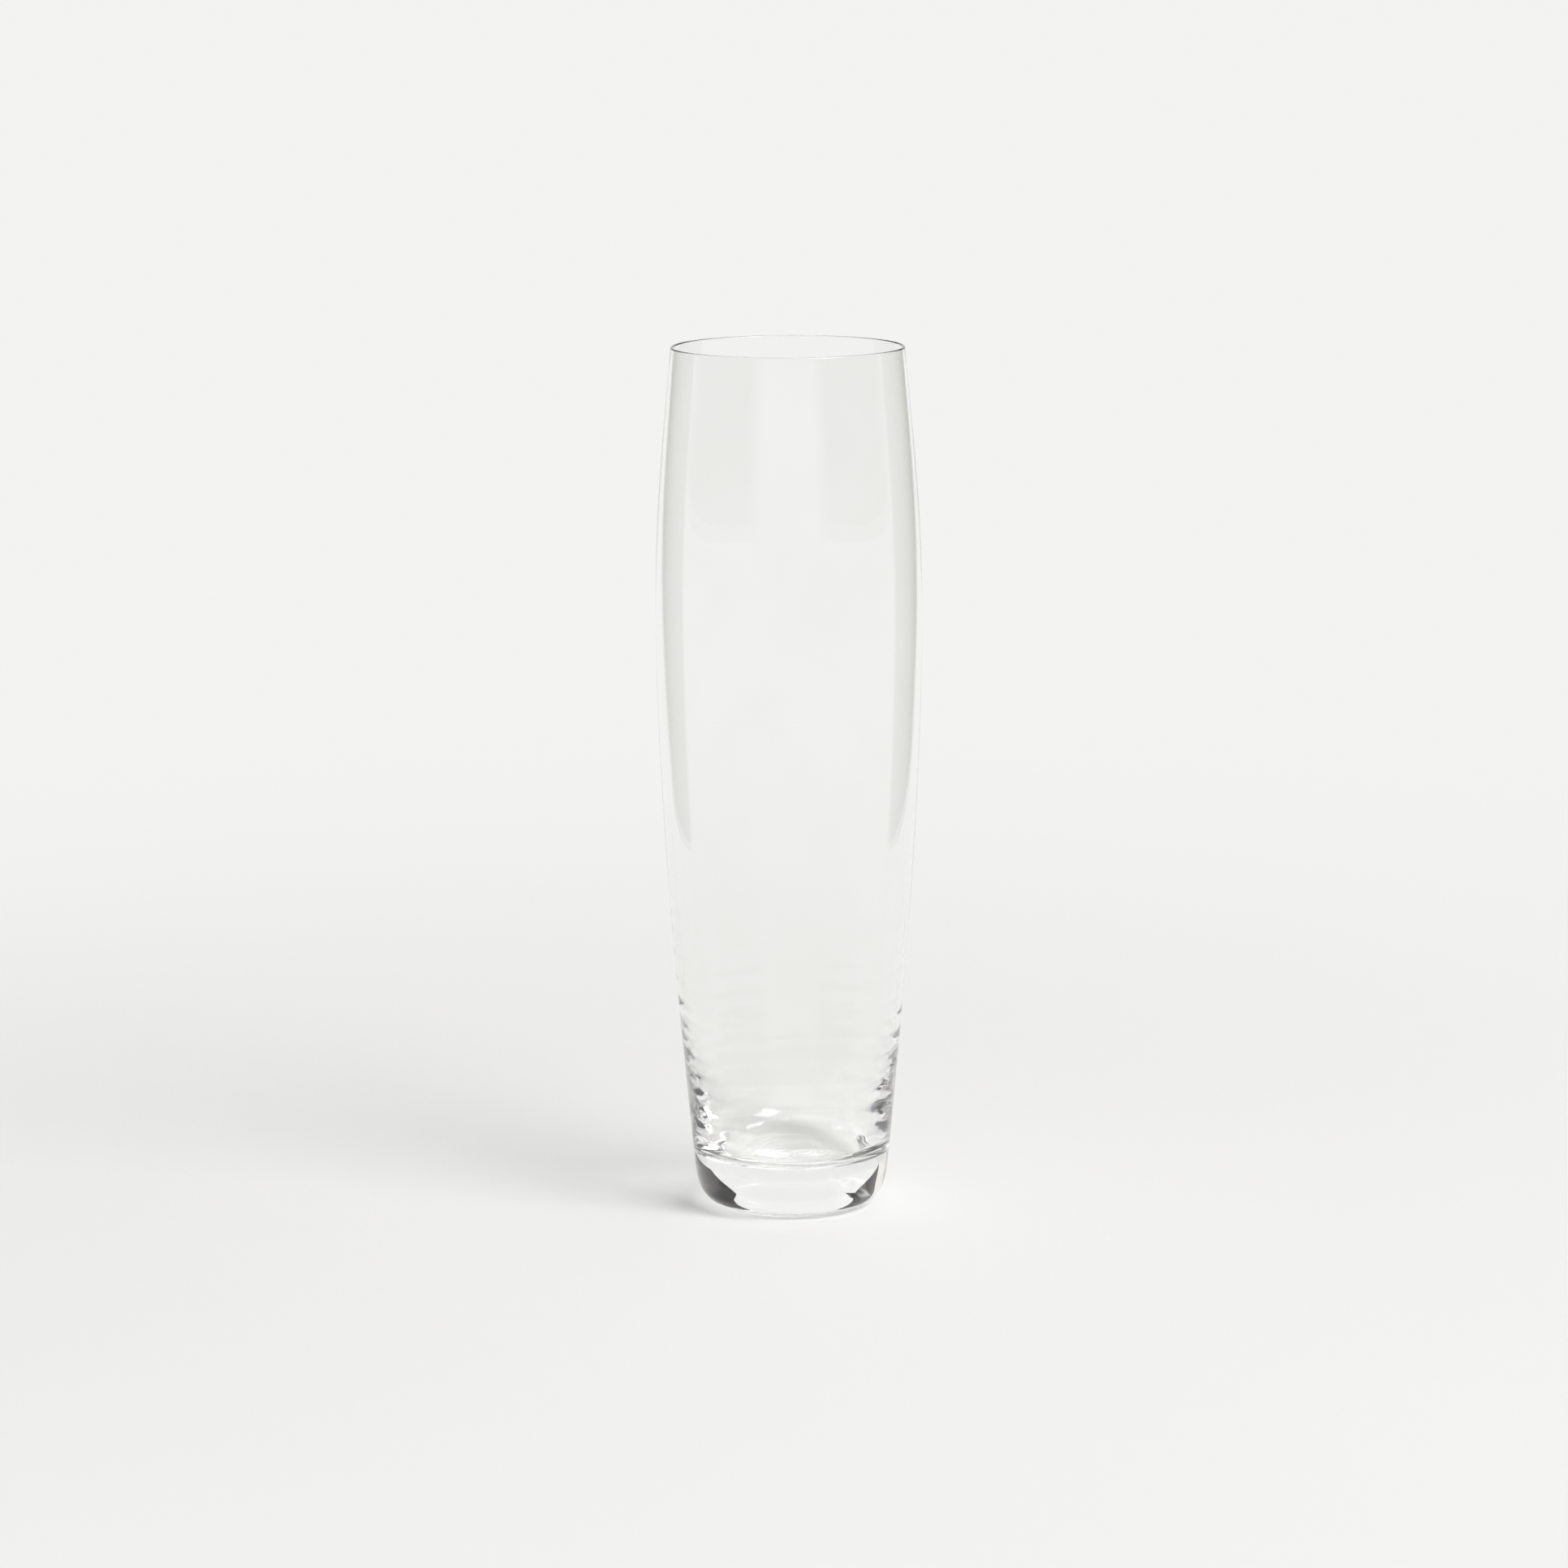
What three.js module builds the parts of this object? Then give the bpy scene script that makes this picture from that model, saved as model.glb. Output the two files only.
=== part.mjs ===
// A stemless champagne glass in clear blown glass: a thin barrel-shaped bowl that runs down into a thick
// base with a rounded lower edge. Millimetres, +Z up. The origin is on the table, under the middle of the base.
import * as THREE from 'three';

// Heights
const BELLY_HEIGHT = 132.2; // table to the widest point of the bowl
const SHOULDER_HEIGHT = 57.8; // widest point to the top of the rim

// Outside radii, and how far the wall leans from upright at its two ends
const FOOT_RADIUS = 21.3; // where the rounded lower edge runs into the wall
const BELLY_RADIUS = 29.1;
const RIM_RADIUS = 25.5;
const FOOT_LEAN = THREE.MathUtils.degToRad(5.75);
const RIM_LEAN = THREE.MathUtils.degToRad(4.9);

// The hollow inside: a floor with a shallow dip, a rounded corner, and a wall that runs up to the thin wall
const FLOOR_THICKNESS = 11.15; // table to the flat ring of the floor
const FLOOR_RADIUS = 11; // from the axis to where the floor turns up into the corner
const FLOOR_RING_WIDTH = 1.7; // that flat ring, between the dip and the corner
const DIP_DEPTH = 0.7; // middle of the floor, below the flat ring
const CORNER_HEIGHT = 10.35; // floor to the upper end of the corner
const CORNER_LEAN = THREE.MathUtils.degToRad(15.3); // how far the inner wall leans from upright there
const THICK_WALL_HEIGHT = 38.85; // floor to where the inner wall starts to follow the outer one

// Thickness of the wall
const CORNER_WALL = 3.1; // at the upper end of the corner
const LOWER_WALL = 1.05; // at the top of the thick wall
const BELLY_WALL = 0.9;
const RIM_WALL = 0.65;

// The underside
const FOOT_HEIGHT = 10; // height of the rounded lower edge
const REST_RADIUS = 11.5; // from the axis to the outer edge of the flat ring that stands on the table
const REST_RING_WIDTH = 2; // that flat ring
const KICK_DEPTH = 1; // height of the shallow dome inside that ring
const SEAM_HEIGHT = 6; // table to the level plane where the base meets the bowl

// Fullness of the curves: the share of a curve's height, or of its width along a floor, for which it keeps
// the lean that it starts or ends with
const FOOT_FULLNESS = { floor: 0.87, wall: 0.48 };
const TAPER_FULLNESS = { foot: 0.495, belly: 0.21 };
const SHOULDER_FULLNESS = { belly: 0.4, rim: 0.34 };
const CORNER_FULLNESS = { floor: 0.94, wall: 0.64 };
const THICK_WALL_FULLNESS = { corner: 0.35, top: 0.41 };
const DIP_FULLNESS = 0.5;

// Fineness of the facets
const SIDES = 64;
const WALL_STEPS = 9;
const THICK_WALL_STEPS = 6;
const CORNER_STEPS = 9;
const DIP_STEPS = 5;
const FOOT_STEPS = { base: 8, bowl: 3 };
const RIM_STEPS = 4;
const KICK_STEPS = 3;

const height = BELLY_HEIGHT + SHOULDER_HEIGHT;

// Points of the outside outline, as (radius, height)
const restEdge = new THREE.Vector2(REST_RADIUS, 0);
const footEdge = new THREE.Vector2(FOOT_RADIUS, FOOT_HEIGHT);
const belly = new THREE.Vector2(BELLY_RADIUS, BELLY_HEIGHT);
const rimRounding = RIM_WALL / 2;
const rimEdge = new THREE.Vector2(RIM_RADIUS, height - rimRounding * (1 - Math.sin(RIM_LEAN)));

// A cubic curve up the wall. It leaves each end along that end's slope, in radius gained per height.
function wallCurve(start, startSlope, startShare, end, endSlope, endShare) {
  const rise = end.y - start.y;
  const startHandle = new THREE.Vector2(startSlope, 1).multiplyScalar(rise * startShare).add(start);
  const endHandle = new THREE.Vector2(-endSlope, -1).multiplyScalar(rise * endShare).add(end);
  return new THREE.CubicBezierCurve(start, startHandle, endHandle, end);
}

// A cubic curve from a level floor up into a wall, which it meets along the wall's slope.
function turnUp(start, end, endSlope, fullness) {
  const floorHandle = new THREE.Vector2(THREE.MathUtils.lerp(start.x, end.x, fullness.floor), start.y);
  const wallLength = (end.y - start.y) * fullness.wall;
  const wallHandle = new THREE.Vector2(-endSlope, -1).multiplyScalar(wallLength).add(end);
  return new THREE.CubicBezierCurve(start, floorHandle, wallHandle, end);
}

const foot = turnUp(restEdge, footEdge, Math.tan(FOOT_LEAN), FOOT_FULLNESS);
const taper = wallCurve(
  footEdge, Math.tan(FOOT_LEAN), TAPER_FULLNESS.foot, belly, 0, TAPER_FULLNESS.belly,
);
const shoulder = wallCurve(
  belly, 0, SHOULDER_FULLNESS.belly, rimEdge, -Math.tan(RIM_LEAN), SHOULDER_FULLNESS.rim,
);

// The place on a rising curve, from 0 to 1, where it reaches a height, found by halving the span.
const SMALLEST_SPAN = 1e-9;

function placeAtHeight(curve, wantedHeight) {
  let below = 0;
  let above = 1;
  while (above - below > SMALLEST_SPAN) {
    const middle = (below + above) / 2;
    if (curve.getPoint(middle).y < wantedHeight) {
      below = middle;
    } else {
      above = middle;
    }
  }
  return below;
}

// Evenly spaced points of a curve, from one place on it to the other.
function pointsBetween(curve, from, to, steps) {
  const places = Array.from({ length: steps + 1 }, (_, step) => THREE.MathUtils.lerp(from, to, step / steps));
  return places.map((place) => curve.getPoint(place));
}

// Above the thick wall the inside follows the outside. The thickness eases from there to the belly, and from
// the belly to the rim.
const thickWallTop = FLOOR_THICKNESS + THICK_WALL_HEIGHT;

function wallThickness(pointHeight) {
  if (pointHeight < BELLY_HEIGHT) {
    const share = THREE.MathUtils.smoothstep(pointHeight, thickWallTop, BELLY_HEIGHT);
    return THREE.MathUtils.lerp(LOWER_WALL, BELLY_WALL, share);
  }
  const share = THREE.MathUtils.smoothstep(pointHeight, BELLY_HEIGHT, rimEdge.y);
  return THREE.MathUtils.lerp(BELLY_WALL, RIM_WALL, share);
}

function insideOf(point) {
  return new THREE.Vector2(point.x - wallThickness(point.y), point.y);
}

// Outline of the hollow, from its lowest point on the axis up to the belly.
function hollowOutline() {
  const dipRadius = FLOOR_RADIUS - FLOOR_RING_WIDTH;
  const dipHandle = dipRadius * DIP_FULLNESS;
  const dip = new THREE.CubicBezierCurve(
    new THREE.Vector2(0, FLOOR_THICKNESS - DIP_DEPTH),
    new THREE.Vector2(dipHandle, FLOOR_THICKNESS - DIP_DEPTH),
    new THREE.Vector2(dipRadius - dipHandle, FLOOR_THICKNESS),
    new THREE.Vector2(dipRadius, FLOOR_THICKNESS),
  );
  const cornerTop = taper.getPoint(placeAtHeight(taper, FLOOR_THICKNESS + CORNER_HEIGHT));
  cornerTop.x -= CORNER_WALL;
  const cornerSlope = Math.tan(CORNER_LEAN);
  const floorEdge = new THREE.Vector2(FLOOR_RADIUS, FLOOR_THICKNESS);
  const corner = turnUp(floorEdge, cornerTop, cornerSlope, CORNER_FULLNESS);
  const innerTaper = pointsBetween(taper, placeAtHeight(taper, thickWallTop), 1, WALL_STEPS).map(insideOf);
  const [edge, nextAbove] = innerTaper;
  const edgeSlope = (nextAbove.x - edge.x) / (nextAbove.y - edge.y);
  const thickWall = wallCurve(
    cornerTop, cornerSlope, THICK_WALL_FULLNESS.corner, edge, edgeSlope, THICK_WALL_FULLNESS.top,
  );
  return [
    ...dip.getPoints(DIP_STEPS),
    ...corner.getPoints(CORNER_STEPS),
    ...thickWall.getPoints(THICK_WALL_STEPS).slice(1),
    ...innerTaper.slice(1),
  ];
}

// The rim is fire-polished: a half round as thick as the wall there, from the outside over to the inside.
function rimOutline() {
  const outward = new THREE.Vector2(Math.cos(RIM_LEAN), Math.sin(RIM_LEAN));
  const centre = outward.multiplyScalar(-rimRounding).add(rimEdge);
  return new THREE.EllipseCurve(
    centre.x, centre.y, rimRounding, rimRounding, RIM_LEAN, Math.PI - RIM_LEAN,
  ).getPoints(RIM_STEPS);
}

// The base and the bowl meet on a level plane that cuts the rounded edge.
const seamPlace = placeAtHeight(foot, SEAM_HEIGHT);
const seamMiddle = new THREE.Vector2(0, foot.getPoint(seamPlace).y);

// Outline of the bowl: its flat bottom face, up the outside, over the rim and down the inside to the axis.
function bowlOutline() {
  const outside = [
    ...pointsBetween(foot, seamPlace, 1, FOOT_STEPS.bowl),
    ...taper.getPoints(WALL_STEPS).slice(1),
    ...shoulder.getPoints(WALL_STEPS).slice(1),
  ];
  const innerShoulder = shoulder.getPoints(WALL_STEPS).slice(1, -1).map(insideOf);
  const inside = [...hollowOutline(), ...innerShoulder].reverse();
  return [seamMiddle, ...outside, ...rimOutline().slice(1), ...inside];
}

// Outline of the base: the shallow dome underneath, the flat ring, the rounded edge and the flat top face.
function baseOutline() {
  const kickRadius = REST_RADIUS - REST_RING_WIDTH;
  const domeRadius = (kickRadius ** 2 + KICK_DEPTH ** 2) / (2 * KICK_DEPTH);
  const domeCentre = KICK_DEPTH - domeRadius;
  const kick = new THREE.EllipseCurve(
    0, domeCentre, domeRadius, domeRadius, Math.PI / 2, Math.atan2(-domeCentre, kickRadius), true,
  );
  return [...kick.getPoints(KICK_STEPS), ...pointsBetween(foot, 0, seamPlace, FOOT_STEPS.base), seamMiddle];
}

// Turns an outline about the glass's axis.
function turned(name, outline, material) {
  const geometry = new THREE.LatheGeometry(outline, SIDES);
  geometry.rotateX(Math.PI / 2);
  const mesh = new THREE.Mesh(geometry, material);
  mesh.name = name;
  return mesh;
}

const bowlGlass = new THREE.MeshStandardMaterial({
  color: 0xf3f8f6, roughness: 0.02, metalness: 0, transparent: true, opacity: 0.25,
});
const baseGlass = new THREE.MeshStandardMaterial({
  color: 0xe9f2ef, roughness: 0.02, metalness: 0, transparent: true, opacity: 0.35,
});

const glass = new THREE.Group();
glass.add(turned('bowl', bowlOutline(), bowlGlass));
glass.add(turned('base', baseOutline(), baseGlass));

export default glass;
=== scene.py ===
# %% [markdown]
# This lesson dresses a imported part: a tall champagne glass without a stem, blown from one piece of clear
# glass. Clear glass has almost no colour of its own. What the eye reads is the light that its walls bend,
# so the lesson spends its effort on true wall thickness, on the small waves that blowing leaves, and on
# what stands round the glass.

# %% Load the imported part
import math

import bpy
import numpy as np
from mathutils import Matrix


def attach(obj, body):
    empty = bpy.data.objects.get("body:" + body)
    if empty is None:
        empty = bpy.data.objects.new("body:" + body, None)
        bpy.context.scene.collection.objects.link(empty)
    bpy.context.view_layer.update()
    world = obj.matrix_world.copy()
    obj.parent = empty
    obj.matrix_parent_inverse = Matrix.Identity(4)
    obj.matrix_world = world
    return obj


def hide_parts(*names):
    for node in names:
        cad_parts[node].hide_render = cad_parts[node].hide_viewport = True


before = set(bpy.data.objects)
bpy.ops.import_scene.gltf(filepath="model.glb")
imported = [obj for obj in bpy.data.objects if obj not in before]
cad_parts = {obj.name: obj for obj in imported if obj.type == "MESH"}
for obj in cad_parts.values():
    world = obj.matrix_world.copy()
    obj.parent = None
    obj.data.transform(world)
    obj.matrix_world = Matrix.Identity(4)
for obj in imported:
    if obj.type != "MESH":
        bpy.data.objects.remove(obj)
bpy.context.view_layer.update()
scene = bpy.context.scene
print("nodes:", sorted(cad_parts))

# %% [markdown]
# The camera stands a long step away and looks down a little. Its height was found from the rim, which
# shows as a flat ellipse, and from the curve of the bottom edge. A long lens keeps the upright sides
# almost parallel.

# %% Camera
IMAGE_SIDE = 1932
FOCAL_PIXELS = 8716.7
SENSOR_WIDTH = 36.0
FARTHEST_SEEN = 50.0
CAMERA_PLACE = (-0.0001, -1.5301, 0.3392)
CAMERA_PITCH = 0.1590
CAMERA_ROLL = 0.0047

camera_data = bpy.data.cameras.new("camera")
camera_data.sensor_width = SENSOR_WIDTH
camera_data.lens = SENSOR_WIDTH * FOCAL_PIXELS / IMAGE_SIDE
camera_data.clip_end = FARTHEST_SEEN
camera = bpy.data.objects.new("camera", camera_data)
camera.location = CAMERA_PLACE
camera.rotation_euler = (math.pi / 2 - CAMERA_PITCH, CAMERA_ROLL, 0.0)
scene.collection.objects.link(camera)
scene.camera = camera
print("lens in millimetres:", round(camera_data.lens, 1))

# %% [markdown]
# The glass is round, so its whole shape is one outline carried about the axis. The outline is a chain of
# cubic curves and arcs, each an array of (radius, height) points in metres. Curves with handles were
# chosen because each one leaves its ends along a known slope, so that the next one can go on without a
# kink.

# %% Curves for the outline
def cubic(start, start_handle, end_handle, end, count):
    """Bezier curve: the four points blended with the weights (1-t)^3, 3t(1-t)^2, 3t^2(1-t) and t^3."""
    t = np.linspace(0.0, 1.0, count)[:, None]
    corners = [np.asarray(point, float) for point in (start, start_handle, end_handle, end)]
    weights = [(1 - t) ** 3, 3 * t * (1 - t) ** 2, 3 * t**2 * (1 - t), t**3]
    return sum(weight * corner for weight, corner in zip(weights, corners))


def wall_curve(start, start_slope, start_share, end, end_slope, end_share, count):
    """Cubic that leaves each end along its slope, in radius per height, for a share of the rise."""
    start, end = np.asarray(start, float), np.asarray(end, float)
    rise = end[1] - start[1]
    start_handle = start + np.array([start_slope, 1.0]) * rise * start_share
    end_handle = end - np.array([end_slope, 1.0]) * rise * end_share
    return cubic(start, start_handle, end_handle, end, count)


def turn_up(start, floor_share, end, end_slope, wall_share, count):
    """Cubic that starts level for a share of its width and ends on a slope for a share of its rise."""
    start, end = np.asarray(start, float), np.asarray(end, float)
    width, rise = end - start
    floor_handle = start + np.array([floor_share * width, 0.0])
    wall_handle = end - np.array([end_slope, 1.0]) * rise * wall_share
    return cubic(start, floor_handle, wall_handle, end, count)


def arc(centre, radius, from_angle, to_angle, count):
    """Points at centre + radius * (cos, sin) for evenly spaced angles."""
    angle = np.linspace(from_angle, to_angle, count)
    return np.stack([centre[0] + radius * np.cos(angle), centre[1] + radius * np.sin(angle)], axis=1)


print("curve helpers:", [helper.__name__ for helper in (cubic, wall_curve, turn_up, arc)])

# %% [markdown]
# The outside starts under the glass, where a shallow dome keeps the middle off the table. It goes on over
# the flat ring that the glass stands on, round the lower edge, up the taper to the belly, in again to the
# rim, and over the rim, which fire polishing melts into a half round. The sizes repeat those of the solid
# part, so that the dressed glass fills the same space. A tight bend gets one more row just beside it, or
# the smooth shading of the bend would spread along the wall and bend its light.

# %% Outside of the glass
TOTAL_HEIGHT = 0.190
BELLY = np.array([0.0291, 0.1322])
FOOT_RADIUS = 0.0213
FOOT_HEIGHT = 0.0100
FOOT_SLOPE = math.tan(math.radians(5.75))
RIM_RADIUS = 0.0255
RIM_LEAN = math.radians(4.9)
RIM_WALL = 0.00065
REST_RADIUS = 0.0115
REST_RING_WIDTH = 0.0020
KICK_DEPTH = 0.0010
SUPPORT_GAP = 0.0001
FOOT_SHARES = {"floor_share": 0.87, "wall_share": 0.48}
TAPER_SHARES = {"start_share": 0.495, "end_share": 0.21}
SHOULDER_SHARES = {"start_share": 0.4, "end_share": 0.34}
KICK_POINTS = 10
REST_POINTS = 4
FOOT_POINTS = 40
TAPER_POINTS = 40
SHOULDER_POINTS = 22
RIM_POINTS = 12

rest_edge = np.array([REST_RADIUS, 0.0])
foot_edge = np.array([FOOT_RADIUS, FOOT_HEIGHT])
rim_rounding = RIM_WALL / 2
rim_edge = np.array([RIM_RADIUS, TOTAL_HEIGHT - rim_rounding * (1 - math.sin(RIM_LEAN))])
rim_slope = -math.tan(RIM_LEAN)
kick_radius = REST_RADIUS - REST_RING_WIDTH
kick_sphere = (kick_radius**2 + KICK_DEPTH**2) / (2 * KICK_DEPTH)
kick_centre = np.array([0.0, KICK_DEPTH - kick_sphere])
kick_end_angle = math.atan2(-kick_centre[1], kick_radius)

kick = arc(kick_centre, kick_sphere, math.pi / 2, kick_end_angle, KICK_POINTS)
rest_radii = np.linspace(kick_radius + SUPPORT_GAP, REST_RADIUS - SUPPORT_GAP, REST_POINTS)
rest_ring = np.stack([rest_radii, np.zeros(REST_POINTS)], axis=1)
foot = turn_up(rest_edge, end=foot_edge, end_slope=FOOT_SLOPE, count=FOOT_POINTS, **FOOT_SHARES)
taper = wall_curve(foot_edge, FOOT_SLOPE, end=BELLY, end_slope=0.0, count=TAPER_POINTS, **TAPER_SHARES)
shoulder = wall_curve(
    BELLY, 0.0, end=rim_edge, end_slope=rim_slope, count=SHOULDER_POINTS, **SHOULDER_SHARES)
under_rim = rim_edge - SUPPORT_GAP * np.array([rim_slope, 1.0])
rim_centre = rim_edge - rim_rounding * np.array([math.cos(RIM_LEAN), math.sin(RIM_LEAN)])
rim = arc(rim_centre, rim_rounding, RIM_LEAN, math.pi - RIM_LEAN, RIM_POINTS)
outside = np.vstack([kick, rest_ring, foot, taper[1:], shoulder[1:-1], under_rim, rim])
print("outside points:", len(outside))

# %% [markdown]
# The inside doesn't just repeat the outside. The wall is thin at the rim and the belly, and thickens over
# the last few centimetres into a heavy base. There the hollow ends in a nearly flat floor with a rounded
# corner and a shallow dip, as a bubble of air does when the glass is pressed on a plate while it is still
# soft. The rows lie closest together where the wall will get its waves.

# %% Inside of the glass
LOWER_WALL = 0.00105
BELLY_WALL = 0.0009
FLOOR_HEIGHT = 0.01115
FLOOR_RADIUS = 0.0110
DIP_RADIUS = 0.0093
DIP_DEPTH = 0.0007
CORNER_TOP = 0.0215
CORNER_WALL = 0.0031
CORNER_SLOPE = math.tan(math.radians(15.3))
THICK_WALL_TOP = 0.0500
WAVY_TOP = 0.0680
CORNER_SHARES = {"floor_share": 0.94, "wall_share": 0.64}
THICK_WALL_SHARES = {"start_share": 0.35, "end_share": 0.41}
FLOOR_POINTS = 36
CORNER_POINTS = 48
THICK_WALL_POINTS = 106
WAVY_POINTS = 36
PLAIN_POINTS = 24

outer_wall = np.vstack([taper, shoulder[1:]])


def outer_radius(height):
    """Radius of the outside at a height, read off between the outline's points."""
    return np.interp(height, outer_wall[:, 1], outer_wall[:, 0])


def smooth_step(value, low, high):
    """Eases from 0 at low to 1 at high as 3x^2 - 2x^3; low may be the larger of the two."""
    x = np.clip((value - low) / (high - low), 0.0, 1.0)
    return x * x * (3.0 - 2.0 * x)


def wall_thickness(height):
    """Eases from the lower wall to the belly wall, and from there to the rim wall."""
    below = LOWER_WALL + (BELLY_WALL - LOWER_WALL) * smooth_step(height, THICK_WALL_TOP, BELLY[1])
    above = BELLY_WALL + (RIM_WALL - BELLY_WALL) * smooth_step(height, BELLY[1], rim_edge[1])
    return np.where(height < BELLY[1], below, above)


inner_rim_height = rim[-1, 1]
wavy_heights = np.linspace(THICK_WALL_TOP, WAVY_TOP, WAVY_POINTS)
plain_heights = np.linspace(WAVY_TOP, inner_rim_height, PLAIN_POINTS)
upper_heights = np.concatenate([wavy_heights, plain_heights[1:-1], [inner_rim_height - SUPPORT_GAP]])
upper_radii = outer_radius(upper_heights) - wall_thickness(upper_heights)
upper_inside = np.stack([upper_radii, upper_heights], axis=1)
corner_start = np.array([FLOOR_RADIUS, FLOOR_HEIGHT])
corner_end = np.array([outer_radius(CORNER_TOP) - CORNER_WALL, CORNER_TOP])
corner = turn_up(
    corner_start, end=corner_end, end_slope=CORNER_SLOPE, count=CORNER_POINTS, **CORNER_SHARES)
edge_width, edge_rise = upper_inside[1] - upper_inside[0]
thick_wall = wall_curve(
    corner_end, CORNER_SLOPE, end=upper_inside[0], end_slope=edge_width / edge_rise,
    count=THICK_WALL_POINTS, **THICK_WALL_SHARES)
floor_radii = np.linspace(0.0, FLOOR_RADIUS, FLOOR_POINTS)
floor_heights = FLOOR_HEIGHT - DIP_DEPTH * smooth_step(floor_radii, DIP_RADIUS, 0.0)
hollow_floor = np.stack([floor_radii, floor_heights], axis=1)
inside = np.vstack([hollow_floor, corner[1:], thick_wall[1:], upper_inside[1:]])[::-1]
print("inside points:", len(inside))

# %% [markdown]
# Blown glass is never perfectly even. The inside of the thick lower wall keeps small slanted waves, and
# they make its sparkle. A bump in the material bends too little light for that, so the waves are real
# relief: a few long ones that run round the glass, with finer chatter over them. They die out up the
# wall. They are strongest to the left and the right, because in front and behind they would blur the view
# through the glass.

# %% Waves in the lower wall
# Turns are whole waves round the glass. Rises are radians per metre of height. Slopes are height per length.
WAVE_SEED = 11
RING_COUNT = 5
RING_TURNS = (-3, 4)
RING_RISES = (1150.0, 1700.0)
RING_SLOPE = 0.06
CHATTER_COUNT = 10
CHATTER_TURNS = (4, 19)
CHATTER_RISES = (2000.0, 3600.0)
CHATTER_SLOPE = 0.02
WAVE_FULL = 0.024
WAVE_ONSET = (0.0112, 0.0124)
FRONT_SHARE = 0.35

wave_numbers = np.random.default_rng(WAVE_SEED)
ring_turns = wave_numbers.integers(*RING_TURNS, RING_COUNT)
ring_rises = wave_numbers.uniform(*RING_RISES, RING_COUNT)
chatter_turns = wave_numbers.integers(*CHATTER_TURNS, CHATTER_COUNT)
chatter_slants = wave_numbers.choice([-1, 1], CHATTER_COUNT)
chatter_rises = wave_numbers.uniform(*CHATTER_RISES, CHATTER_COUNT)
wave_turns = np.concatenate([ring_turns, chatter_turns * chatter_slants])
wave_rises = np.concatenate([ring_rises, chatter_rises])
wave_slopes = np.concatenate([
    np.full(RING_COUNT, RING_SLOPE * math.sqrt(2 / RING_COUNT)),
    np.full(CHATTER_COUNT, CHATTER_SLOPE * math.sqrt(2 / CHATTER_COUNT)),
])
wave_phases = wave_numbers.uniform(0.0, 2 * math.pi, RING_COUNT + CHATTER_COUNT)


def waves(height, angle):
    """Sum of the slanted cosines slope / rise * cos(turns * angle + rise * height + phase).

    It eases in above the floor and out up the wall, and shrinks with cos(angle)^2 towards front and back.
    """
    total = np.zeros(np.broadcast(height, angle).shape)
    for turns, rise, slope, phase in zip(wave_turns, wave_rises, wave_slopes, wave_phases):
        total += slope / rise * np.cos(turns * angle + rise * height + phase)
    around = FRONT_SHARE + (1 - FRONT_SHARE) * np.cos(angle) ** 2
    return total * around * smooth_step(height, WAVY_TOP, WAVE_FULL) * smooth_step(height, *WAVE_ONSET)


tallest_wave = (wave_slopes / wave_rises).max()
print("waves:", len(wave_turns), "tallest in metres:", round(tallest_wave, 6))

# %% [markdown]
# The floor keeps faint rings from the pressing, and a shallow groove where its dip ends. Rings that were
# exactly round would look machined, so a slow swirl pulls them a little out of true.

# %% Ripples in the floor
RIPPLE_HEIGHT = 0.00008
RIPPLE_SPACING = 0.0024
RIPPLE_SWIRL = 0.4
SWIRL_PHASE = 0.6
RIPPLE_ONSET = (0.0020, 0.0050)
RIPPLE_END = (0.0110, 0.0095)
GROOVE_WIDTH = 0.0005
GROOVE_DEPTH = 0.00025
GROOVE_WANDER = 0.0002
GROOVE_LOBES = 3
FLOOR_SLACK = 0.0001


def ripples(radius, height, angle):
    """On the floor, rings of height * cos(2 pi r / spacing + swirl), less a groove.

    The groove is depth * exp(-(d / width)^2), where d is the distance from its wandering line.
    """
    swirl = RIPPLE_SWIRL * np.sin(angle + SWIRL_PHASE)
    rings = RIPPLE_HEIGHT * np.cos(2 * math.pi * radius / RIPPLE_SPACING + swirl)
    within = smooth_step(radius, *RIPPLE_ONSET) * smooth_step(radius, *RIPPLE_END)
    from_groove = radius + GROOVE_WANDER * np.sin(GROOVE_LOBES * angle) - DIP_RADIUS
    groove = GROOVE_DEPTH * np.exp(-((from_groove / GROOVE_WIDTH) ** 2))
    return (rings * within - groove) * (height < FLOOR_HEIGHT + FLOOR_SLACK)


print("rings in the floor:", round(FLOOR_RADIUS / RIPPLE_SPACING, 1))

# %% [markdown]
# The outline turns about the axis to make the surface: a grid of points in outline step and angle, closed
# with one point at each end where it meets the axis. Outside and inside are one closed skin, which is
# what tells the renderer glass from air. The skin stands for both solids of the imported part, because the
# real glass has no seam.

# %% Turn the outline into the glass
SIDES = 264


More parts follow.
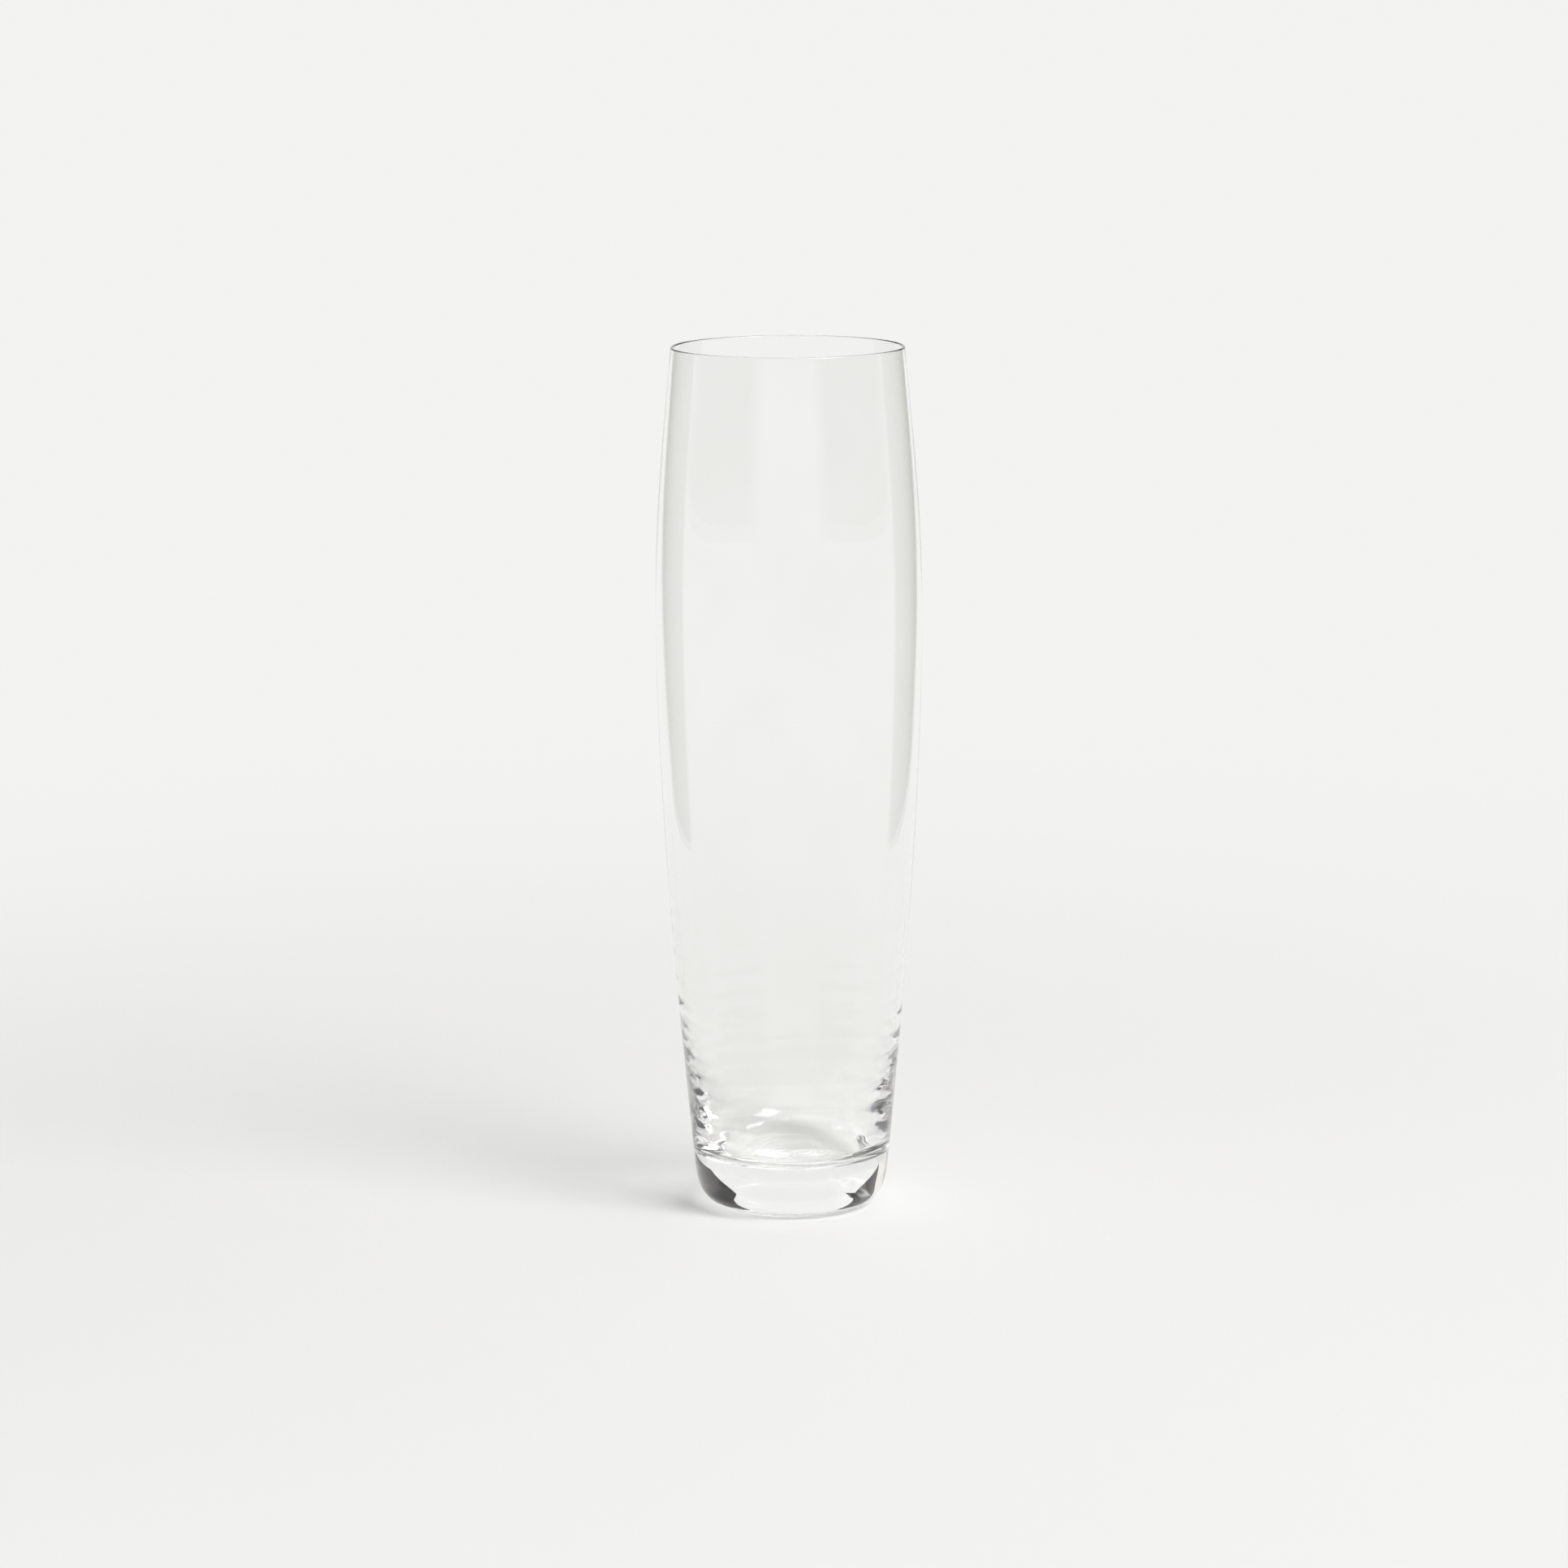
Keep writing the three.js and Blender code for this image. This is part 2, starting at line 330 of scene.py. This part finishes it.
def turned_surface(outline, offset, sides):
    """Points at (r cos a, r sin a, z) for every angle a, with an offset added to the outline's r and z.

    Rows are outline steps and columns are angles. The first and last outline points lie on the axis, so each
    of them becomes one vertex with a fan of triangles round it. Every other pair of rows becomes a ring of
    quads.
    """
    column = np.arange(sides)
    after = (column + 1) % sides
    angle = column * (2 * math.pi / sides)
    ring = outline[1:-1]
    outward, upward = offset(ring[:, :1], ring[:, 1:], angle[None, :])
    radius = ring[:, :1] + outward
    height = ring[:, 1:] + upward
    grid = np.stack([radius * np.cos(angle), radius * np.sin(angle), height], axis=-1).reshape(-1, 3)
    points = np.vstack([[0.0, 0.0, outline[0, 1]], grid, [0.0, 0.0, outline[-1, 1]]])
    row = 1 + sides * np.arange(len(ring) - 1)[:, None]
    next_row = row + sides
    corners = [row + column, row + after, next_row + after, next_row + column]
    quads = np.stack(corners, axis=-1).reshape(-1, 4)
    last_row = 1 + sides * (len(ring) - 1)
    first_fan = np.stack([np.zeros(sides, int), 1 + after, 1 + column], axis=-1)
    last_fan = np.stack([np.full(sides, len(points) - 1), last_row + column, last_row + after], axis=-1)
    return points, quads.tolist() + first_fan.tolist() + last_fan.tolist()


def relief(radius, height, angle):
    """Nothing on the outside rows; on the inside rows, waves in the wall and ripples in the floor."""
    outside_rows = len(outside) - 1
    outward = waves(height, angle)
    upward = ripples(radius, height, angle)
    outward[:outside_rows] = 0.0
    upward[:outside_rows] = 0.0
    return outward, upward


points, faces = turned_surface(np.vstack([outside, inside]), relief, SIDES)
glass_mesh = bpy.data.meshes.new("champagne_glass")
glass_mesh.from_pydata(points, [], faces)
glass_mesh.polygons.foreach_set("use_smooth", np.ones(len(faces), bool))
glass_mesh.update()
glass = bpy.data.objects.new("champagne_glass", glass_mesh)
scene.collection.objects.link(glass)
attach(glass, "root")
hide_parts("bowl", "base")
euler_count = len(points) - len(glass_mesh.edges) + len(faces)
print("glass faces:", len(faces), "points - edges + faces, 2 when closed:", euler_count)

# %% [markdown]
# Glass is all transmission, with the refractive index of soda-lime glass. Its only colour is a trace of
# tint, a little stronger where cords of slightly different glass run through it, and its only roughness
# is the faint film that a washed and handled glass keeps. One soft noise, which stays in place on the
# glass, drives both.

# %% Clear glass
CORD_SCALE = 45.0
CORD_DETAIL = 2.0
GLASS_INDEX = 1.5
TINT_STOPS = [(0.35, (0.980, 0.982, 0.972, 1.0)), (0.65, (0.993, 0.994, 0.988, 1.0))]
FILM_START = 0.45
FILM_FULL = 0.75
FILM_ROUGHNESS = 0.012


def add_node(tree, kind, inputs, **settings):
    """Adds a node, sets it up, and fills each input with a value or with a link from an output."""
    node = tree.nodes.new(kind)
    for name, value in settings.items():
        setattr(node, name, value)
    for name, source in inputs.items():
        if isinstance(source, bpy.types.NodeSocket):
            tree.links.new(source, node.inputs[name])
        else:
            node.inputs[name].default_value = source
    return node


def add_ramp(tree, factor, stops):
    """Adds a colour ramp driven by factor, with its stops as (position, colour) in rising order."""
    ramp = add_node(tree, "ShaderNodeValToRGB", {"Fac": factor})
    elements = ramp.color_ramp.elements
    first, *between, last = stops
    elements[0].position, elements[0].color = first
    elements[1].position, elements[1].color = last
    for position, color in between:
        elements.new(position).color = color
    return ramp.outputs["Color"]


clear_glass = bpy.data.materials.new("clear_glass")
clear_glass.use_nodes = True
glass_tree = clear_glass.node_tree
place = add_node(glass_tree, "ShaderNodeTexCoord", {})
cords = add_node(glass_tree, "ShaderNodeTexNoise", {
    "Vector": place.outputs["Object"], "Scale": CORD_SCALE, "Detail": CORD_DETAIL})
tint = add_ramp(glass_tree, cords.outputs["Fac"], TINT_STOPS)
film = add_node(glass_tree, "ShaderNodeMapRange", {
    "Value": cords.outputs["Fac"], "From Min": FILM_START, "From Max": FILM_FULL,
    "To Min": 0.0, "To Max": FILM_ROUGHNESS})
shader = glass_tree.nodes["Principled BSDF"]
shader.inputs["Transmission Weight"].default_value = 1.0
shader.inputs["IOR"].default_value = GLASS_INDEX
glass_tree.links.new(tint, shader.inputs["Base Color"])
glass_tree.links.new(film.outputs["Result"], shader.inputs["Roughness"])
glass_mesh.materials.append(clear_glass)
print("material:", clear_glass.name)

# %% [markdown]
# The glass stands on a wide sheet of pale paper that runs back and rises gently behind it, as in a
# photographer's studio. The sheet is a profile of height over depth, carried sideways: flat, then an arc
# of a very large circle, so that no fold shows. It lies a hair below the glass, because two faces in one
# place would flicker.

# %% Paper sweep
SWEEP_HALF_WIDTH = 3.0
SWEEP_FRONT = -4.0
SWEEP_BEND_START = 0.15
SWEEP_BEND_RADIUS = 3.5
SWEEP_BEND_POINTS = 64
SWEEP_GAP = 0.0001

bend_centre = (SWEEP_BEND_START, SWEEP_BEND_RADIUS)
bend = arc(bend_centre, SWEEP_BEND_RADIUS, -math.pi / 2, 0.0, SWEEP_BEND_POINTS)
sweep_profile = np.vstack([[SWEEP_FRONT, 0.0], bend]) - np.array([0.0, SWEEP_GAP])
sweep_side = np.full(len(sweep_profile), SWEEP_HALF_WIDTH)
sweep_left = np.column_stack([-sweep_side, sweep_profile])
sweep_right = np.column_stack([sweep_side, sweep_profile])


def stage_sheet(name, lower, upper, material):
    """Makes a part of the stage: two rows of points, joined step by step with quads, in one material."""
    corners = np.stack([lower, upper], axis=1).reshape(-1, 3)
    step = 2 * np.arange(len(lower) - 1)[:, None]
    panels = (step + np.array([[0, 1, 3, 2]])).tolist()
    mesh = bpy.data.meshes.new(name)
    mesh.from_pydata(corners, [], panels)
    mesh.polygons.foreach_set("use_smooth", np.ones(len(panels), bool))
    mesh.materials.append(material)
    sheet = bpy.data.objects.new(name, mesh)
    scene.collection.objects.link(sheet)
    return sheet


print("sweep steps:", len(sweep_profile))

# %% [markdown]
# Near the glass the sheet is plain paper and keeps the shadow. Farther off it eases into one even tone,
# for the eye and for what the glass reflects and bends, so that the picture doesn't fall off towards its
# edges. The tone gives no light to anything else.

# %% Pale paper
PAPER_COLOR = (0.90, 0.897, 0.885, 1.0)
PAPER_ROUGHNESS = 0.9
PAPER_GLOSS = 0.1
EVEN_COLOR = (0.896, 0.896, 0.885, 1.0)
EVEN_START = 0.12
EVEN_FULL = 0.55


def add_math(tree, operation, first, second):
    """Adds a Math node on two values and gives its result."""
    return add_node(tree, "ShaderNodeMath", {0: first, 1: second}, operation=operation).outputs["Value"]


paper = bpy.data.materials.new("pale_paper")
paper.use_nodes = True
paper_tree = paper.node_tree
paper_shader = paper_tree.nodes["Principled BSDF"]
paper_shader.inputs["Base Color"].default_value = PAPER_COLOR
paper_shader.inputs["Roughness"].default_value = PAPER_ROUGHNESS
paper_shader.inputs["Specular IOR Level"].default_value = PAPER_GLOSS
paper_place = add_node(paper_tree, "ShaderNodeTexCoord", {})
from_glass = add_node(
    paper_tree, "ShaderNodeVectorMath", {0: paper_place.outputs["Object"]}, operation="LENGTH")
far_off = add_node(paper_tree, "ShaderNodeMapRange", {
    "Value": from_glass.outputs["Value"], "From Min": EVEN_START, "From Max": EVEN_FULL,
}, interpolation_type="SMOOTHSTEP")
paper_ray = add_node(paper_tree, "ShaderNodeLightPath", {}).outputs
seen = add_math(paper_tree, "MAXIMUM", paper_ray["Is Camera Ray"], paper_ray["Is Glossy Ray"])
seen_or_bent = add_math(paper_tree, "MAXIMUM", seen, paper_ray["Is Transmission Ray"])
even_share = add_math(paper_tree, "MULTIPLY", seen_or_bent, far_off.outputs["Result"])
even_tone = add_node(paper_tree, "ShaderNodeEmission", {"Color": EVEN_COLOR})
paper_mix = add_node(paper_tree, "ShaderNodeMixShader", {
    "Fac": even_share, 1: paper_shader.outputs["BSDF"], 2: even_tone.outputs["Emission"]})
paper_tree.links.new(paper_mix.outputs["Shader"], paper_tree.nodes["Material Output"].inputs["Surface"])
sweep = stage_sheet("paper_sweep", sweep_left, sweep_right, paper)
print("sweep:", sweep.name)

# %% [markdown]
# Bright paper alone would make clear glass vanish, so photographers stand dark cards to both sides, just
# out of the picture. The camera doesn't see the cards here, and neither does a ray that has passed
# through two whole walls, so that the view through the bowl stays clear from every side. They give an
# even glow of their own colour, because lamps would make them uneven.

# %% Card materials
THROWN_BACK_TONE = (0.26, 0.26, 0.21, 1.0)
DEEPEST_SEEN = 2.5


def card_material(name, color):
    """Even glow, clear for light on its way to the paper and for rays past two whole walls.

    A ray that went straight through the glass, as it does in the base, sees the card's own colour. One that
    was thrown back on its way, as in the thin wall of the bowl, sees a paler tone.
    """
    material = bpy.data.materials.new(name)
    material.use_nodes = True
    tree = material.node_tree
    tree.nodes.clear()
    ray = add_node(tree, "ShaderNodeLightPath", {}).outputs
    tone = add_node(tree, "ShaderNodeMix", {
        "Factor": ray["Glossy Depth"], "A": color, "B": THROWN_BACK_TONE}, data_type="RGBA")
    glow = add_node(tree, "ShaderNodeEmission", {"Color": tone.outputs["Result"]})
    clear = add_node(tree, "ShaderNodeBsdfTransparent", {})
    past_two_walls = add_math(tree, "GREATER_THAN", ray["Transmission Depth"], DEEPEST_SEEN)
    hidden = add_math(tree, "MAXIMUM", past_two_walls, ray["Diffuse Depth"])
    choice = add_node(tree, "ShaderNodeMixShader", {
        "Fac": hidden, 1: glow.outputs["Emission"], 2: clear.outputs["BSDF"]})
    add_node(tree, "ShaderNodeOutputMaterial", {"Surface": choice.outputs["Shader"]})
    return material


dark_felt = card_material("dark_felt", (0.014, 0.012, 0.010, 1.0))
grey_felt = card_material("grey_felt", (0.30, 0.28, 0.25, 1.0))
cream_card = card_material("cream_card", (0.90, 0.88, 0.82, 1.0))
print("card materials:", [dark_felt.name, grey_felt.name, cream_card.name])

# %% [markdown]
# The thick base bends the cards into view as two dark patches, and the outline of the patches repeats the
# cards' bent back edges. Each card is a flat sheet between a straight front edge and a back edge of a few
# corners, which were moved until the patches had their outline. A pale card fills a gap on the left. The
# base turns left and right round, as a lens does, so that card shows as the pale stripe on the right.

# %% Cards
CARD_PLACE = 0.34
CARD_TOP = 0.50
CARD_FRONT = 0.07
GAP_FRONT = 0.13
GAP_BACK = 0.262
RIGHT_BACK_EDGE = [(0.35, 0.0), (0.697, 0.163), (0.635, 0.175), (0.93, CARD_TOP)]
LEFT_BACK_EDGE = [(0.265, 0.0), (0.55, 0.14), (0.729, 0.162), (0.566, 0.166), (0.80, CARD_TOP)]


def side_card(name, material, side, front, back_edge):
    """Upright card at x = side, from a straight front edge to a back edge of (depth, height) corners."""
    back_depth, height = np.array(back_edge).T
    place = np.full(len(height), side)
    front_row = np.column_stack([place, np.full(len(height), front), height])
    back_row = np.column_stack([place, back_depth, height])
    card = stage_sheet(name, front_row, back_row, material)
    card.visible_camera = False
    card.visible_diffuse = False
    card.visible_shadow = False
    return card


def straight_edge(depth):
    """Upright back edge at one depth."""
    return [(depth, 0.0), (depth, CARD_TOP)]


cards = [
    side_card("right_card", dark_felt, CARD_PLACE, CARD_FRONT, RIGHT_BACK_EDGE),
    side_card("left_front_card", grey_felt, -CARD_PLACE, CARD_FRONT, straight_edge(GAP_FRONT)),
    side_card("left_gap_card", cream_card, -CARD_PLACE, GAP_FRONT, straight_edge(GAP_BACK)),
    side_card("left_back_card", dark_felt, -CARD_PLACE, GAP_BACK, LEFT_BACK_EDGE),
]
print("cards:", [card.name for card in cards])

# %% [markdown]
# The paper is lit by a room of one plain grey and by the lamps. A ray that has met the glass sees the
# room as a studio is: pale behind the paper, overhead and low in front, but dark at eye level to the
# front and the sides, and bluish grey above that. The thick wall throws those darks back as its sparkle.
# Once such a ray has met the paper, it sees the plain room again, so the paper round the glass stays
# pale.

# %% Room
PLAIN_ROOM = (0.44, 0.44, 0.44, 1.0)
PALE_ROOM = (0.90, 0.90, 0.89, 1.0)
ROOM_STOPS = [
    (0.0, (0.42, 0.42, 0.39, 1.0)),
    (0.14, (0.035, 0.030, 0.026, 1.0)),
    (0.38, (0.045, 0.042, 0.042, 1.0)),
    (0.66, (0.18, 0.20, 0.25, 1.0)),
    (0.90, (0.95, 0.95, 0.94, 1.0)),
]
# Each ease is two values of one part of a direction of length 1.
BACK_EASE = (0.05, 0.35)
PANEL_SIDE_EASE = (0.58, 0.42)
PANEL_TOP_EASE = (0.20, 0.12)

world = bpy.data.worlds.new("studio")
world.use_nodes = True
room = world.node_tree


def room_ease(value, ease):
    """Share from 0 at the first value of ease to 1 at the second."""
    low, high = ease
    inputs = {"Value": value, "From Min": low, "From Max": high}
    return add_node(room, "ShaderNodeMapRange", inputs).outputs["Result"]


direction = add_node(room, "ShaderNodeTexCoord", {}).outputs["Generated"]
toward = add_node(room, "ShaderNodeSeparateXYZ", {"Vector": direction}).outputs
room_heights = add_ramp(room, toward["Z"], ROOM_STOPS)
sideways = add_node(room, "ShaderNodeMath", {0: toward["X"]}, operation="ABSOLUTE").outputs["Value"]
near_middle = room_ease(sideways, PANEL_SIDE_EASE)
below_panel_top = room_ease(toward["Z"], PANEL_TOP_EASE)
on_panel = add_math(room, "MULTIPLY", near_middle, below_panel_top)
pale_share = add_math(room, "MAXIMUM", on_panel, room_ease(toward["Y"], BACK_EASE))
studio = add_node(room, "ShaderNodeMix", {
    "Factor": pale_share, "A": room_heights, "B": PALE_ROOM}, data_type="RGBA")
room_ray = add_node(room, "ShaderNodeLightPath", {}).outputs
met_glass = add_math(room, "MAXIMUM", room_ray["Is Transmission Ray"], room_ray["Is Glossy Ray"])
no_paper_yet = add_node(room, "ShaderNodeMath", {
    0: met_glass, 1: room_ray["Diffuse Depth"]}, operation="SUBTRACT", use_clamp=True)
plain_or_studio = add_node(room, "ShaderNodeMix", {
    "Factor": no_paper_yet.outputs["Value"], "A": PLAIN_ROOM, "B": studio.outputs["Result"],
}, data_type="RGBA")
room.links.new(plain_or_studio.outputs["Result"], room.nodes["Background"].inputs["Color"])
scene.world = world
print("world:", world.name)

# %% [markdown]
# Two lamps are enough. A large soft box in front, above and to the right lays the soft shadow to the
# left, and a long one overhead adds glints. Large lamps were chosen because small ones draw hard bright
# spots through glass.

# %% Soft boxes
def soft_box(name, width, depth, energy, location, rotation):
    """Rectangular area lamp, with its rotation in degrees about x and y."""
    lamp = bpy.data.lights.new(name, "AREA")
    lamp.shape = "RECTANGLE"
    lamp.size = width
    lamp.size_y = depth
    lamp.energy = energy
    box = bpy.data.objects.new(name, lamp)
    box.location = location
    box.rotation_euler = (math.radians(rotation[0]), math.radians(rotation[1]), 0.0)
    scene.collection.objects.link(box)
    return box


boxes = [
    soft_box(
        "key_box", width=2.2, depth=2.2, energy=112.0, location=(2.2, -2.2, 2.7), rotation=(32.2, 39.1)),
    soft_box(
        "top_box", width=0.40, depth=0.90, energy=2.2, location=(0.25, 0.10, 1.40), rotation=(0.0, 10.0)),
]
print("boxes:", [box.name for box in boxes])

# %% [markdown]
# Light goes back and forth many times in a thick wall before it leaves, so the renderer is allowed many
# bounces. It is also kept from blurring reflections that follow a soft bounce, because the sparkle is
# made of them.

# %% Render settings that the glass needs
BOUNCES = 96

scene.view_settings.view_transform = "Standard"
scene.cycles.max_bounces = BOUNCES
scene.cycles.transmission_bounces = BOUNCES
scene.cycles.glossy_bounces = BOUNCES
scene.cycles.blur_glossy = 0.0
scene.cycles.use_denoising = True
print("bounces:", scene.cycles.max_bounces)
